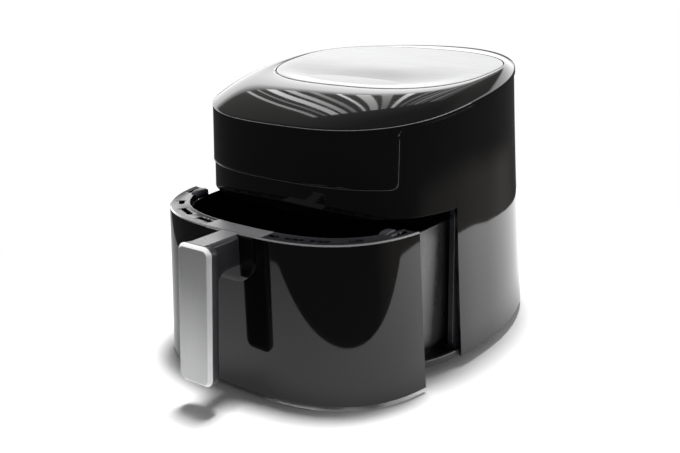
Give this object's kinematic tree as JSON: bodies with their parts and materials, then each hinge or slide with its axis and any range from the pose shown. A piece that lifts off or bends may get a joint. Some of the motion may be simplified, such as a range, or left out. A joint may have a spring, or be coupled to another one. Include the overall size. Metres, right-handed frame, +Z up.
{
  "type": "air fryer",
  "caption": "Upright oval kitchen air fryer with a domed top and touch panel apron, a pull-out drawer with pan and crisper plate, and a stand-off vertical handle.",
  "frame": {"origin": "on the table, under the middle of the whole outline with the drawer at rest, 64 mm open", "axes": "+Z up, the drawer opens towards -Y, +X to the right of someone who stands in front of the appliance and faces it"},
  "size_m": [0.2988, 0.4771, 0.2797],
  "materials": {
    "gloss_black": "high gloss injection moulding",
    "hood_black": "high gloss injection moulding",
    "cover_black": "high gloss injection moulding with a touch field",
    "drawer_gloss": "high gloss injection moulding",
    "plate_silver": "satin anodised, slightly dished",
    "grip_silver": "satin anodised with a bright chamfer",
    "satin_black": "fine satin grain",
    "base_black": "fine grain",
    "rim_grey": "heat resistant plastic, fine grain",
    "pan_coating": "non-stick coating",
    "crisper_coating": "non-stick coating",
    "foot_rubber": "soft rubber",
    "bumper_silicone": "silicone rubber",
    "aluminised": "aluminised sheet steel, spangled",
    "steel": "plain steel",
    "zinc": "zinc plated",
    "heater_sheath": "heat tinted steel sheath",
    "fan_metal": "stamped aluminium",
    "fan_plastic": "moulded nylon",
    "bronze": "sintered bronze",
    "laminations": "stacked steel laminations",
    "copper_coil": "enamelled copper under clear tape",
    "duct_metal": "galvanised sheet steel",
    "ceramic": "glazed ceramic",
    "board_green": "solder resist",
    "display_white": "light box of the display",
    "contact_spring": "sprung brass",
    "carrier_plastic": "moulded nylon",
    "tape_yellow": "insulating tape over the winding",
    "relay_blue": "moulded case",
    "capacitor_yellow": "moulded case",
    "terminal_white": "moulded polyamide",
    "switch_black": "moulded case",
    "pin_black": "moulded acetal",
    "runner_steel": "zinc plated"
  },
  "bodies": {
    "casing": {"rear_shell": "gloss_black", "front_hood": "hood_black", "top_cover": "cover_black", "top_plate": "plate_silver", "base_plate": "base_black", "foot_front_left": "foot_rubber", "foot_front_right": "foot_rubber", "foot_rear_left": "foot_rubber", "foot_rear_right": "foot_rubber", "base_screws": "zinc", "opening_frame": "satin_black", "exhaust_grille": "satin_black", "cord_gland": "foot_rubber", "oven_cavity": "aluminised", "runner_left": "runner_steel", "runner_right": "runner_steel", "heat_shield": "aluminised", "heating_element": "heater_sheath", "element_clips": "steel", "heater_guard": "steel", "exhaust_duct": "duct_metal", "bearing_lower": "bronze", "bearing_upper": "bronze", "motor_stator": "laminations", "motor_coil": "copper_coil", "motor_bracket_lower": "fan_metal", "motor_bracket_upper": "fan_metal", "motor_screws": "zinc", "thermal_fuse": "ceramic", "temperature_sensor": "steel", "control_board": "board_green", "display_module": "display_white", "touch_springs": "contact_spring", "board_carrier": "carrier_plastic", "power_board": "board_green", "transformer": "tape_yellow", "relay": "relay_blue", "filter_capacitor": "capacitor_yellow", "terminal_block": "terminal_white", "interlock_switch": "switch_black"},
    "drawer": {"drawer_front": "drawer_gloss", "drawer_rim": "rim_grey", "drawer_pan": "pan_coating", "front_brace": "satin_black", "handle_bracket": "zinc", "handle_screws": "zinc", "handle_flange": "drawer_gloss", "handle_grip": "satin_black", "handle_plate": "grip_silver"},
    "crisper": {"crisper_plate": "crisper_coating", "plate_bumpers": "bumper_silicone"},
    "air_mover": {"hot_air_fan": "fan_metal", "fan_nut": "zinc", "motor_shaft": "steel", "motor_rotor": "laminations", "cooling_fan": "fan_plastic"},
    "interlock": {"interlock_pin": "pin_black"}
  },
  "joints": [
    {"name": "drawer_slide", "type": "slide", "parent": "casing", "child": "drawer", "axis": [0, -1, 0], "range_m": [-0.064, 0.1]},
    {"name": "crisper_lift", "type": "slide", "parent": "drawer", "child": "crisper", "axis": [0, 0, 1], "range_m": [0, 0.1]},
    {"name": "fan_spin", "type": "hinge", "parent": "casing", "child": "air_mover", "pos_m": [0, 0.02296, 0.21], "axis": [0, 0, 1], "continuous": true},
    {"name": "interlock_press", "type": "slide", "parent": "casing", "child": "interlock", "axis": [0, 1, 0], "range_m": [0, 0.0025], "stiffness_N_per_m": 120}
  ]
}
